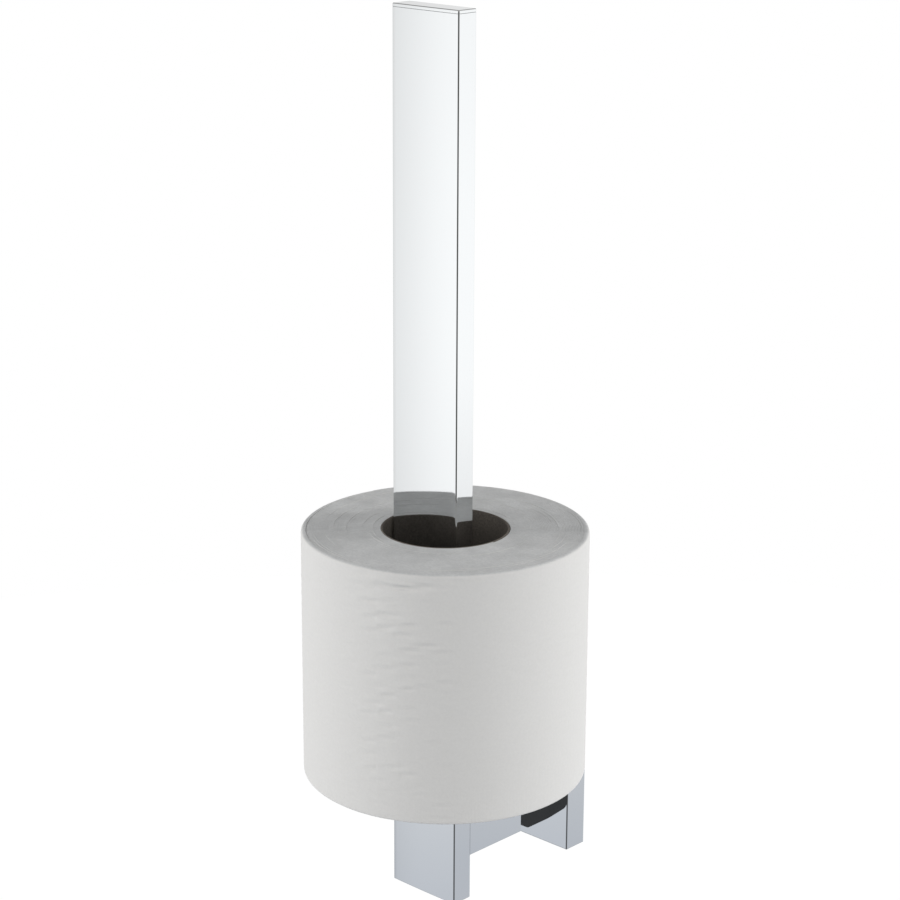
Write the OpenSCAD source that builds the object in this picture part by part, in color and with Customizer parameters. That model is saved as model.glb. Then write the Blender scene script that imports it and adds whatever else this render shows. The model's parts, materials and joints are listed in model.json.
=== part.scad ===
// Wall-mounted store for spare toilet rolls. An upright flat post stands on a short arm in front of a
// small wall plate, and rolls are dropped over the post.
// The origin is the centre of the wall plate's back face. +Z is up, the wall is the plane y = 0 and
// the holder stands out from it towards -Y. Sizes are in millimetres.

/* [Post] */
// Width of the post, which the arm, the spacer and the wall plate share
bar_width = 35; // [32:0.5:40]
// Thickness of the post, front to back
post_depth = 10; // [9:0.5:14]
// Height of the post from its foot to its top, with the cap
post_height = 366; // [260:1:480]
// Wall thickness of the post's tube
post_wall = 1.5; // [1:0.1:2]
// Rounding of the chromed pieces' edges
edge_radius = 0.6; // [0.4:0.1:1.4]

/* [Post caps] */
// Thickness of the cap plate on the post's top, and of the plug's floor inside its foot
cap_thickness = 1.3; // [1.2:0.1:3]
// Rounding of the post's edges round its top and its foot
rim_radius = 0.4; // [0.2:0.1:1]
// How far a cap's plug reaches into the tube
cap_plug_length = 8; // [5:0.5:12]
// Wall thickness of a cap's hollow plug
cap_plug_wall = 1.2; // [0.8:0.1:1.6]

/* [Arm] */
// Height of the arm
arm_height = 38; // [36:0.5:44]
// Length of the arm, from the post's back to the spacer
arm_length = 31; // [24:1:40]
// Thickness of the arm's four side walls
arm_wall = 2.5; // [2:0.1:3]
// Thickness of the arm's front wall, which is screwed to the post
arm_front_wall = 4; // [3.5:0.1:6]
// Diameter of the arm's two screw bosses
boss_diameter = 9; // [7.5:0.1:10]
// How far the threaded hole runs into each boss
boss_hole_depth = 14; // [13:0.5:18]

/* [Spacer] */
// Rounding of the spacer's upper and lower edge next to the arm
spacer_front_radius = 7; // [2:0.5:8]
// Rounding of the spacer's upper and lower edge next to the wall plate
spacer_rear_radius = 3; // [1.5:0.5:4]
// Length over which the spacer tapers towards the wall plate
spacer_taper_length = 14.5; // [8:0.5:18]
// Slope of that taper, above and below
spacer_taper_angle = 6.5; // [0:0.5:8]
// How far the spacer's spigot reaches into the arm's open end
spigot_length = 3; // [2:0.5:5]
// Wall round the spacer's cored pockets
spacer_wall = 2.2; // [1.6:0.1:3]
// Thickness that the pockets leave next to the wall plate
spacer_floor = 5; // [4:0.5:8]
// Thickness of the ribs between the pockets
spacer_rib = 2; // [1.5:0.1:3]
// Wall of the two tubes that the tie screws pass through
spacer_tube_wall = 1.8; // [1.4:0.1:2.5]

/* [Wall plate] */
// Height of the wall plate; its lower end is level with the post's foot
plate_height = 76; // [72:1:100]
// Depth of the wall plate, from the wall to its front
plate_depth = 11; // [11:0.5:16]
// Thickness of the wall plate's four side walls
plate_wall = 2; // [1.5:0.1:2.5]
// Thickness of the wall plate's front
plate_front_wall = 2.5; // [1.8:0.1:2.5]

/* [Wall bracket] */
// Thickness of the bracket that the wall plate hangs on
bracket_thickness = 5; // [4:0.1:5]
// Distance between the bracket's two wall screw holes
wall_hole_spacing = 48; // [46:1:50]
// Diameter of the wall screw holes
wall_hole_diameter = 5.2; // [4.2:0.1:6]
// Diameter of their countersinks at the bracket's front
countersink_diameter = 10; // [8:0.1:11]

/* [Screws] */
// Diameter of the two long screws that tie the wall plate, the spacer and the arm together
tie_screw_diameter = 4; // [3:0.1:4.5]
// Distance between them, one above the other
tie_screw_spacing = 22; // [20:0.5:23]
// How far a tie screw reaches into its boss
tie_screw_grip = 12; // [8:0.5:12.5]
// Head diameter of a tie screw
tie_head_diameter = 7.5; // [6.5:0.1:8]
// Head height of a tie screw
tie_head_height = 2.4; // [1.6:0.1:2.4]
// Diameter of the washer under a tie screw's head
washer_diameter = 9; // [8.2:0.1:10]
// Thickness of the washer
washer_thickness = 0.8; // [0.5:0.1:0.8]
// Diameter of the two countersunk screws that hold the arm to the post
post_screw_diameter = 4; // [3:0.1:4.4]
// Distance between them, side by side
post_screw_spacing = 18; // [16:0.5:19]
// Head diameter of a post screw
post_head_diameter = 7.4; // [6.8:0.1:7.6]
// Diameter of the set screw in the wall plate's underside
grub_diameter = 4; // [3:0.1:4.4]
// Length of the set screw
grub_length = 7; // [6.5:0.5:9]
// How deep the set screw lies in its hole
grub_recess = 0.5; // [0:0.1:1]
// Distance from the wall to the set screw's axis
grub_setback = 3; // [2.8:0.1:3.6]

/* [Toilet roll] */
// Distance from a centred roll to the wall plate, which sets the spacer's length
roll_wall_distance = 8; // [8:0.5:15]
// Outer diameter of the roll
roll_diameter = 116; // [95:1:122]
// Height of the roll
roll_height = 103; // [90:1:115]
// Rounding of the roll's edges
roll_edge_radius = 1.5; // [0.5:0.5:3]
// Bore of the cardboard core
core_bore = 50; // [44:0.5:54]
// Thickness of the cardboard
core_wall = 0.8; // [0.5:0.1:1.5]
// Share of the core's play on the post by which the roll lies off the middle
roll_shift = 0.87; // [0:0.01:0.9]
// Direction in which it lies off, from +X towards the wall
roll_shift_angle = 13; // [0:1:90]

/* [Hidden] */

$fn = 96;

chrome_colour = "#d9dde2";
black_colour = "#26292b";
steel_colour = "#a9acaf";
zinc_colour = "#9da1a6";
brass_colour = "#c3a45b";
paper_colour = "#dededa";
cardboard_colour = "#8a7a68";

// Clearances, each between two faces
fit_gap = 0.2;      // a plug, spigot or bracket in its opening
hole_gap = 0.2;     // a screw's shank in a plain hole, on the radius
thread_gap = 0.05;  // a screw's shank in a threaded hole, on the radius
end_gap = 0.3;      // a screw's head or spigot before it would touch
cut = 1;            // how far a cutting shape runs past the face that it cuts

// The roll's core is loose on the post, so the roll lies a little off the post's middle
core_play = core_bore / 2 - norm([bar_width / 2, post_depth / 2]);
roll_shift_x = roll_shift * core_play * cos(roll_shift_angle);
roll_shift_y = roll_shift * core_play * sin(roll_shift_angle);
core_radius = core_bore / 2 + core_wall;

// The arm and the spacer together hold the roll clear of the wall plate
spacer_length = roll_diameter / 2 + roll_wall_distance - post_depth / 2 - arm_length;

// Planes across the holder, from the wall towards the room
cover_front_y = -plate_depth;
arm_rear_y = cover_front_y - spacer_length;
post_rear_y = arm_rear_y - arm_length;
post_middle_y = post_rear_y - post_depth / 2;

// Heights
foot_z = -plate_height / 2;
tube_length = post_height - cap_thickness;
arm_top_z = arm_height / 2;

// Insides
tube_inner_width = bar_width - 2 * post_wall;
tube_inner_depth = post_depth - 2 * post_wall;
arm_inner_width = bar_width - 2 * arm_wall;
arm_inner_height = arm_height - 2 * arm_wall;
cover_inner_width = bar_width - 2 * plate_wall;
cover_inner_height = plate_height - 2 * plate_wall;

// The arm's front is coped round the post's rounded back edges, down to this share of their radius
cope_share = 0.5;
cope_length = cope_share * edge_radius;

// Threaded block inside the tube
insert_margin = 7;
insert_height = post_head_diameter + 2 * insert_margin;
insert_depth = tube_inner_depth - fit_gap;

// Screw lengths and heads
countersunk_head_height = (post_head_diameter - post_screw_diameter) / 2;
post_screw_length = arm_front_wall + post_wall + insert_depth - end_gap;
tie_seat_y = cover_front_y + plate_front_wall;
tie_screw_length = plate_front_wall + washer_thickness + spacer_length + spigot_length + tie_screw_grip;
hex_key = 2.5;
hex_depth = 1.3;
grub_hex_key = 2;
grub_hex_depth = 2.5;

// The bosses stop just short of the spigot
boss_end_y = arm_rear_y - spigot_length - fit_gap;
boss_length = arm_length - spigot_length - fit_gap - arm_front_wall;
boss_rib = 2.5;

// The bracket hangs between the wall plate's top wall and the set screw's tip
bracket_width = cover_inner_width - 2 * fit_gap;
bracket_top_z = cover_inner_height / 2;
bracket_bottom_z = foot_z + grub_recess + grub_length;
bracket_corner = 2;
countersink_depth = (countersink_diameter - wall_hole_diameter) / 2;
grub_boss_wall = 2.5;
grub_boss_front = 1.8;
grub_boss_gap = 1.5;
grub_boss_width = grub_diameter + 2 * grub_boss_wall;
grub_boss_depth = grub_setback + grub_diameter / 2 + grub_boss_front;
grub_boss_top_z = bracket_bottom_z - grub_boss_gap;
wall_relief = 0.5;

// Flat shapes

module rounded_rect(width, height, radius) {
    square([width - 2 * radius, height], center = true);
    square([width, height - 2 * radius], center = true);
    for (x = [-1, 1], y = [-1, 1])
        translate([x * (width / 2 - radius), y * (height / 2 - radius)])
            circle(r = radius, $fn = 48);
}

// Side view of the spacer, from the arm at -length to the wall plate at 0: level next to the arm, then
// tapered above and below, with a circle in each rear corner that the taper meets smoothly
module spacer_outline() {
    corner_x = -spacer_rear_radius;
    corner_z = arm_height / 2 - (spacer_taper_length - spacer_rear_radius) * tan(spacer_taper_angle)
             - spacer_rear_radius / cos(spacer_taper_angle);
    meet_x = corner_x + spacer_rear_radius * sin(spacer_taper_angle);
    meet_z = corner_z + spacer_rear_radius * cos(spacer_taper_angle);
    intersection() {
        rounded_rect(2 * spacer_length, arm_height, spacer_front_radius);
        union() {
            translate([-spacer_length, -arm_height / 2])
                square([spacer_length - spacer_taper_length, arm_height]);
            polygon([[-spacer_taper_length, arm_height / 2], [meet_x, meet_z], [0, corner_z],
                     [0, -corner_z], [meet_x, -meet_z], [-spacer_taper_length, -arm_height / 2]]);
            for (side = [-1, 1])
                translate([corner_x, side * corner_z])
                    circle(r = spacer_rear_radius, $fn = 48);
        }
    }
}

// Solid shapes

// Runs a flat XZ shape from the plane y = 0 towards the room
module towards_room(length) {
    rotate([90, 0, 0])
        linear_extrude(length)
            children();
}

// Runs a flat YZ shape across the holder's width
module across(width) {
    rotate([90, 0, 90])
        linear_extrude(width, center = true)
            children();
}

// Block from y = 0 to y = -depth: the edges along y have one radius and those of its front another,
// and those in the plane y = 0 stay sharp
module eased_block(width, depth, height, side_radius, front_radius) {
    intersection() {
        towards_room(depth) rounded_rect(width, height, side_radius);
        across(width) rounded_rect(2 * depth, height, front_radius);
        linear_extrude(height, center = true) rounded_rect(width, 2 * depth, front_radius);
    }
}

// Round bar or hole along y, from the plane y = start towards the room
module rod(x, z, start, length, radius) {
    translate([x, start, z])
        rotate([90, 0, 0])
            cylinder(h = length, r = radius);
}

// Hollow plug for the tube's inside, from z = 0 up, with a floor unless that is 0
module tube_plug(floor) {
    plug_width = tube_inner_width - 2 * fit_gap;
    plug_depth = tube_inner_depth - 2 * fit_gap;
    difference() {
        linear_extrude(cap_plug_length)
            square([plug_width, plug_depth], center = true);
        translate([0, 0, floor > 0 ? floor : -cut])
            linear_extrude(cap_plug_length + 2 * cut)
                square([plug_width - 2 * cap_plug_wall, plug_depth - 2 * cap_plug_wall], center = true);
    }
}

module place_tie_screws() {
    for (side = [-1, 1])
        translate([0, 0, side * tie_screw_spacing / 2])
            children();
}

module place_post_screws() {
    for (side = [-1, 1])
        translate([side * post_screw_spacing / 2, 0, 0])
            children();
}

// Pieces of the post

module post_tube() {
    color(chrome_colour)
        difference() {
            translate([0, post_middle_y, foot_z + tube_length])
                rotate([90, 0, 0])
                    eased_block(bar_width, tube_length, post_depth, edge_radius, rim_radius);
            translate([0, post_middle_y, foot_z - cut])
                linear_extrude(tube_length + 2 * cut)
                    square([tube_inner_width, tube_inner_depth], center = true);
            place_post_screws()
                rod(0, 0, post_rear_y + cut, post_wall + 2 * cut, post_screw_diameter / 2 + hole_gap);
        }
}

// Plate that covers the tube's end, with a plug below it
module top_cap() {
    color(chrome_colour)
        translate([0, post_middle_y, foot_z + tube_length]) {
            rotate([-90, 0, 0])
                eased_block(bar_width, cap_thickness, post_depth, edge_radius, rim_radius);
            mirror([0, 0, 1])
                tube_plug(0);
        }
}

// Plug inside the tube's end, level with it, so that no seam shows round the post's foot
module bottom_cap() {
    color(chrome_colour)
        translate([0, post_middle_y, foot_z])
            tube_plug(cap_thickness);
}

module post_insert() {
    color(brass_colour)
        difference() {
            translate([0, post_rear_y - post_wall, 0])
                towards_room(insert_depth)
                    square([tube_inner_width - 2 * fit_gap, insert_height], center = true);
            place_post_screws()
                rod(0, 0, post_rear_y, post_wall + insert_depth + cut, post_screw_diameter / 2 + thread_gap);
        }
}

// Countersunk, with the head flush with the inside of the arm's front wall
module post_screws() {
    head_y = post_rear_y + arm_front_wall;
    color(steel_colour)
        place_post_screws()
            difference() {
                union() {
                    rod(0, 0, head_y, post_screw_length, post_screw_diameter / 2);
                    translate([0, head_y, 0])
                        rotate([90, 0, 0])
                            cylinder(h = countersunk_head_height, r1 = post_head_diameter / 2,
                                     r2 = post_screw_diameter / 2);
                }
                translate([0, head_y + cut, 0])
                    rotate([90, 0, 0])
                        cylinder(h = hex_depth + cut, d = hex_key / cos(30), $fn = 6);
            }
}

// Pieces of the arm

// Hollow casting, open towards the wall, with two screw bosses that ribs tie to its walls
module arm() {
    color(chrome_colour)
        difference() {
            union() {
                difference() {
                    translate([0, arm_rear_y, 0])
                        towards_room(arm_length + cope_length)
                            rounded_rect(bar_width, arm_height, edge_radius);
                    linear_extrude(arm_height + 2 * cut, center = true)
                        translate([0, post_middle_y])
                            rounded_rect(bar_width, post_depth, edge_radius);
                    translate([0, arm_rear_y + cut, 0])
                        towards_room(arm_length - arm_front_wall + cut)
                            square([arm_inner_width, arm_inner_height], center = true);
                }
                place_tie_screws()
                    rod(0, 0, boss_end_y, boss_length + cut, boss_diameter / 2);
                for (side = [-1, 1])
                    translate([-boss_rib / 2, boss_end_y - boss_length - cut,
                               side > 0 ? tie_screw_spacing / 2 : -arm_top_z + arm_wall / 2])
                        cube([boss_rib, boss_length + cut,
                              arm_top_z - arm_wall / 2 - tie_screw_spacing / 2]);
            }
            place_tie_screws()
                rod(0, 0, boss_end_y + cut, boss_hole_depth + cut, tie_screw_diameter / 2 + thread_gap);
            place_post_screws() {
                rod(0, 0, post_rear_y + arm_front_wall + cut, arm_front_wall + 2 * cut,
                    post_screw_diameter / 2 + hole_gap);
                translate([0, post_rear_y + arm_front_wall, 0])
                    rotate([90, 0, 0])
                        cylinder(h = countersunk_head_height, r1 = post_head_diameter / 2 + hole_gap,
                                 r2 = post_screw_diameter / 2 + hole_gap);
            }
        }
}

// Moulding between the arm and the wall plate, cored from the arm's side to an even wall
module spacer_block() {
    spigot_width = arm_inner_width - 2 * fit_gap;
    spigot_height = arm_inner_height - 2 * fit_gap;
    color(black_colour)
        difference() {
            union() {
                intersection() {
                    translate([0, cover_front_y, 0])
                        across(bar_width) spacer_outline();
                    translate([0, cover_front_y, 0])
                        towards_room(spacer_length)
                            rounded_rect(bar_width, arm_height, edge_radius);
                }
                translate([0, arm_rear_y + spacer_front_radius, 0])
                    towards_room(spacer_front_radius + spigot_length)
                        square([spigot_width, spigot_height], center = true);
            }
            translate([0, cover_front_y - spacer_floor, 0])
                towards_room(spacer_length - spacer_floor + spigot_length + cut)
                    difference() {
                        square([spigot_width - 2 * spacer_wall, spigot_height - 2 * spacer_wall],
                               center = true);
                        square([spacer_rib, spigot_height], center = true);
                        square([spigot_width, spacer_rib], center = true);
                        for (side = [-1, 1])
                            translate([0, side * tie_screw_spacing / 2])
                                circle(r = tie_screw_diameter / 2 + hole_gap + spacer_tube_wall);
                    }
            place_tie_screws()
                rod(0, 0, cover_front_y + cut, spacer_length + spigot_length + 2 * cut,
                    tie_screw_diameter / 2 + hole_gap);
        }
}

// Long pan-head screws, put in from the wall plate's inside
module tie_screws() {
    head_y = tie_seat_y + washer_thickness;
    rim = tie_head_height / 3;
    crown_diameter = tie_head_diameter * 0.7;
    color(steel_colour)
        place_tie_screws()
            difference() {
                union() {
                    rod(0, 0, head_y, tie_screw_length, tie_screw_diameter / 2);
                    translate([0, head_y, 0])
                        rotate([-90, 0, 0]) {
                            cylinder(h = rim, d = tie_head_diameter);
                            translate([0, 0, rim])
                                cylinder(h = tie_head_height - rim, d1 = tie_head_diameter,
                                         d2 = crown_diameter);
                        }
                }
                translate([0, head_y + tie_head_height + cut, 0])
                    rotate([90, 0, 0])
                        cylinder(h = hex_depth + cut, d = hex_key / cos(30), $fn = 6);
            }
}

module tie_washers() {
    color(steel_colour)
        place_tie_screws()
            difference() {
                rod(0, 0, tie_seat_y + washer_thickness, washer_thickness, washer_diameter / 2);
                rod(0, 0, tie_seat_y + washer_thickness + cut, washer_thickness + 2 * cut,
                    tie_screw_diameter / 2 + hole_gap);
            }
}

// Pieces at the wall

// Shell that is open towards the wall, with a threaded boss for the set screw inside its lower wall
module wall_cover() {
    color(chrome_colour)
        difference() {
            union() {
                difference() {
                    eased_block(bar_width, plate_depth, plate_height, edge_radius, edge_radius);
                    translate([0, cut, 0])
                        towards_room(plate_depth - plate_front_wall + cut)
                            square([cover_inner_width, cover_inner_height], center = true);
                }
                translate([-grub_boss_width / 2, -grub_boss_depth, foot_z + plate_wall / 2])
                    cube([grub_boss_width, grub_boss_depth - wall_relief,
                          grub_boss_top_z - foot_z - plate_wall / 2]);
            }
            place_tie_screws()
                rod(0, 0, tie_seat_y + cut, plate_front_wall + 2 * cut, tie_screw_diameter / 2 + hole_gap);
            translate([0, -grub_setback, foot_z - cut])
                cylinder(h = grub_boss_top_z - foot_z + 2 * cut, r = grub_diameter / 2 + thread_gap);
        }
}

// Plate that is screwed to the wall before the holder is hung over it
module wall_bracket() {
    bracket_height = bracket_top_z - bracket_bottom_z;
    color(zinc_colour)
        difference() {
            translate([0, 0, bracket_bottom_z + bracket_height / 2])
                towards_room(bracket_thickness)
                    rounded_rect(bracket_width, bracket_height, bracket_corner);
            for (side = [-1, 1])
                translate([0, 0, side * wall_hole_spacing / 2]) {
                    rod(0, 0, cut, bracket_thickness + 2 * cut, wall_hole_diameter / 2);
                    translate([0, -bracket_thickness, 0])
                        rotate([-90, 0, 0])
                            cylinder(h = countersink_depth, r1 = countersink_diameter / 2,
                                     r2 = wall_hole_diameter / 2);
                }
        }
}

module grub_screw() {
    color(steel_colour)
        translate([0, -grub_setback, foot_z + grub_recess])
            difference() {
                cylinder(h = grub_length, d = grub_diameter);
                translate([0, 0, -cut])
                    cylinder(h = grub_hex_depth + cut, d = grub_hex_key / cos(30), $fn = 6);
            }
}

// The roll, which stands on the arm with its core loose round the post

module place_roll() {
    translate([roll_shift_x, post_middle_y + roll_shift_y, arm_top_z])
        children();
}

module tissue_roll() {
    paper_width = roll_diameter / 2 - core_radius;
    color(paper_colour)
        place_roll()
            rotate_extrude()
                translate([core_radius + paper_width / 2, roll_height / 2])
                    rounded_rect(paper_width, roll_height, roll_edge_radius);
}

module cardboard_core() {
    color(cardboard_colour)
        place_roll()
            difference() {
                cylinder(h = roll_height, r = core_radius);
                translate([0, 0, -cut])
                    cylinder(h = roll_height + 2 * cut, d = core_bore);
            }
}

post_tube();
top_cap();
bottom_cap();
post_insert();
arm();
post_screws();
spacer_block();
tie_screws();
tie_washers();
wall_cover();
wall_bracket();
grub_screw();
tissue_roll();
cardboard_core();
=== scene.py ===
# Looks of the wall-mounted store for spare toilet rolls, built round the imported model.
# Metres. The wall is the plane y = 0, the room is towards -Y and +Z is up.
import bpy
import bmesh
import json
import math
import numpy as np
from mathutils import Matrix, Vector


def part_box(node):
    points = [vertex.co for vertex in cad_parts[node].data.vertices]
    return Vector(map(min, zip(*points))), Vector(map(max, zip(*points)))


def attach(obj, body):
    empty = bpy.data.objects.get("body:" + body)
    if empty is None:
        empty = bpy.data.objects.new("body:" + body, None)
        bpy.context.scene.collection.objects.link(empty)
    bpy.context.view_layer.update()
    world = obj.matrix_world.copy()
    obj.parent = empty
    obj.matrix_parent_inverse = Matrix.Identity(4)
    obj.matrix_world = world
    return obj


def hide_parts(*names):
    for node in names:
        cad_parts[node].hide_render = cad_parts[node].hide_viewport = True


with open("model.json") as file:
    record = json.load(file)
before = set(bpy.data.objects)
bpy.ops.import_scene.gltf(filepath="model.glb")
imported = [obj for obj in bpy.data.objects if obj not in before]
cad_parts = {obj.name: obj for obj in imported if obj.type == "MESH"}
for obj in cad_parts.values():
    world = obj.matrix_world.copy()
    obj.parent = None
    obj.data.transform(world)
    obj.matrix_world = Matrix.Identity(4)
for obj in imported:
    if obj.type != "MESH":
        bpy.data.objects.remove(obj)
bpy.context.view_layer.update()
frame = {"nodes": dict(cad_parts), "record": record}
cadNodes = frame["nodes"]
mm = 0.001
print("frame loaded:", len(cadNodes), "nodes")


def linear(hexColour):
    channels = [int(hexColour[i:i + 2], 16) / 255 for i in (1, 3, 5)]
    return [c / 12.92 if c <= 0.04045 else ((c + 0.055) / 1.055) ** 2.4 for c in channels] + [1.0]


def setInputs(tree, node, inputs):
    # an input's value is a plain value, a node (its first output) or one of a node's outputs
    for key, value in inputs.items():
        source = value.outputs[0] if isinstance(value, bpy.types.Node) else value
        if isinstance(source, bpy.types.NodeSocket):
            tree.links.new(source, node.inputs[key])
        else:
            node.inputs[key].default_value = source


def addNode(tree, kind, inputs=None, **settings):
    node = tree.nodes.new(kind)
    for name, value in settings.items():
        setattr(node, name, value)
    setInputs(tree, node, inputs or {})
    return node


def newMaterial(name):
    material = bpy.data.materials.new(name)
    material.use_nodes = True
    tree = material.node_tree
    tree.nodes.clear()
    shader = addNode(tree, "ShaderNodeBsdfPrincipled")
    addNode(tree, "ShaderNodeOutputMaterial", {"Surface": shader})
    return material, tree, shader


# Camera: fitted to the photograph's edges, 900 x 900

cameraSet = {
    "position": (0.65394, -0.75833, 0.43673),
    "lens": 99.443,         # mm, on a 36 mm sensor
    "turn": 43.408,         # degrees round Z
    "tilt": 16.708,         # degrees below level
    "roll": 0.273,
}


def makeCamera(s):
    data = bpy.data.cameras.new("camera")
    data.lens = s["lens"]
    data.sensor_width = 36
    data.clip_start = 0.01
    camera = bpy.data.objects.new("camera", data)
    bpy.context.scene.collection.objects.link(camera)
    turn = Matrix.Rotation(math.radians(s["turn"]), 4, "Z")
    tilt = Matrix.Rotation(math.radians(90 - s["tilt"]), 4, "X")
    roll = Matrix.Rotation(math.radians(s["roll"]), 4, "Z")
    camera.matrix_world = Matrix.Translation(s["position"]) @ turn @ tilt @ roll
    bpy.context.scene.camera = camera


makeCamera(cameraSet)

# Studio: a white surround that is dark behind the camera and dimmer overhead, a pale floor that glows
# for mirror rays as a painted reflection, and a long low soft box on either side

studioSet = {
    # the surround's darker sides: the direction, the cosines from it at which the darkening starts and is
    # full, the share taken away, and the heights (sines) at which that starts and is full, with its curve
    "darkSides": [
        ((0.6873, -0.7264, 0.0), (0.30, 0.85), 0.92, (0.28, -0.06), "SMOOTHSTEP"),    # behind the camera
        ((-1.0, 0.0, 0.0), (0.65, 0.77), 0.22, (2.0, 1.0), "LINEAR"),        # left, at every height
        ((-0.6873, 0.7264, 0.0), (0.12, 0.60), 0.26, (2.0, 1.0), "LINEAR"),  # beyond the object, as well
        ((0.0, 1.0, 0.0), (0.45, 0.65), 0.10, (-0.26, -0.32), "LINEAR"),     # low towards the wall
    ],
    "strength": 1.68,
    # height of the direction (its sine) and brightness there
    "heights": [(-1.0, 0.40), (-0.44, 0.52), (-0.38, 0.72), (-0.32, 0.90), (-0.24, 0.96), (-0.12, 0.92),
                (0.0, 0.86), (0.25, 0.72), (0.6, 0.42), (1.0, 0.22)],
    "floorHeight": -0.45,
    "floorRadius": 1.5,
    "floorSides": 96,
    "floorLight": "#E6E9EC",
    "floorDark": "#DFE3E7",
    "floorMottle": 3.0,      # patterns per metre
    "floorRoughness": 0.8,
    "floorWhite": 1.04,      # the floor as the camera sees it, and how much of that it sees
    "floorShown": 0.94,
    "paintedReflectionNear": "#D0D4DC",   # painted reflection: the floor's glow for mirror rays, close by and further off
    "paintedReflectionFar": "#FFFFFF",
    "nearRadius": 0.85,
    "farRadius": 1.5,
    "paintedReflection": 1.37,
    "paintedReflectionShare": 0.85,
}

lampSet = {
    "target": (0.0, -0.07, 0.07),
    "distance": 3.0,
    "rise": 11.0,            # degrees above level
    "middle": (0.6873, -0.7264, 0.0),      # towards the camera
    "turns": (-88.0, 88.0),  # degrees from there
    "width": 1.8,
    "height": 0.7,
    "power": 23.5,
}


def sideShade(s):
    # how bright the surround is in one direction, from 0 to 1; the floor uses it too
    tree = bpy.data.node_groups.new("side shade", "ShaderNodeTree")
    tree.interface.new_socket("Direction", in_out="INPUT", socket_type="NodeSocketVector")
    tree.interface.new_socket("Height", in_out="INPUT", socket_type="NodeSocketFloat")
    tree.interface.new_socket("Share", in_out="OUTPUT", socket_type="NodeSocketFloat")
    given = addNode(tree, "NodeGroupInput").outputs
    level = addNode(tree, "ShaderNodeVectorMath", {0: given["Direction"], 1: (1.0, 1.0, 0.0)},
                    operation="MULTIPLY")
    flat = addNode(tree, "ShaderNodeVectorMath", {0: level}, operation="NORMALIZE")
    share = None
    for side, (start, full), loss, (top, low), fall in s["darkSides"]:
        toSide = addNode(tree, "ShaderNodeVectorMath", {0: flat, 1: side}, operation="DOT_PRODUCT")
        turned = addNode(tree, "ShaderNodeMapRange",
                         {"Value": toSide.outputs["Value"], "From Min": start, "From Max": full,
                          "To Max": loss}, interpolation_type="SMOOTHSTEP")
        lowered = addNode(tree, "ShaderNodeMapRange",
                          {"Value": given["Height"], "From Min": top, "From Max": low},
                          interpolation_type=fall)
        shade = addNode(tree, "ShaderNodeMath", {0: turned, 1: lowered}, operation="MULTIPLY")
        lit = addNode(tree, "ShaderNodeMath", {0: 1.0, 1: shade}, operation="SUBTRACT")
        share = addNode(tree, "ShaderNodeMath", {0: lit, 1: share or 1.0}, operation="MULTIPLY")
    addNode(tree, "NodeGroupOutput", {"Share": share})
    return tree


def makeWorld(s, shading):
    world = bpy.data.worlds.new("studio")
    bpy.context.scene.world = world
    world.use_nodes = True
    tree = world.node_tree
    tree.nodes.clear()
    direction = addNode(tree, "ShaderNodeTexCoord").outputs["Generated"]
    height = addNode(tree, "ShaderNodeSeparateXYZ", {0: direction}).outputs["Z"]
    place = addNode(tree, "ShaderNodeMapRange", {"Value": height, "From Min": -1.0, "From Max": 1.0})
    byHeight = addNode(tree, "ShaderNodeValToRGB", {"Fac": place})
    ramp = byHeight.color_ramp
    ramp.interpolation = "B_SPLINE"
    while len(ramp.elements) < len(s["heights"]):
        ramp.elements.new(0.5)
    for element, (sine, level) in zip(ramp.elements, s["heights"]):
        element.position = (sine + 1) / 2
        element.color = (level, level, level, 1)
    share = addNode(tree, "ShaderNodeGroup", {"Direction": direction, "Height": height}, node_tree=shading)
    strength = addNode(tree, "ShaderNodeMath", {0: share, 1: s["strength"]}, operation="MULTIPLY")
    around = addNode(tree, "ShaderNodeBackground", {"Color": byHeight, "Strength": strength})
    plain = addNode(tree, "ShaderNodeBackground", {"Color": (1, 1, 1, 1), "Strength": 1.0})
    rays = addNode(tree, "ShaderNodeLightPath")
    straight = addNode(tree, "ShaderNodeMath",
                       {0: rays.outputs["Is Camera Ray"], 1: rays.outputs["Is Transmission Ray"]},
                       operation="MAXIMUM")
    mixed = addNode(tree, "ShaderNodeMixShader", {0: straight, 1: around, 2: plain})
    addNode(tree, "ShaderNodeOutputWorld", {"Surface": mixed})


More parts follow.
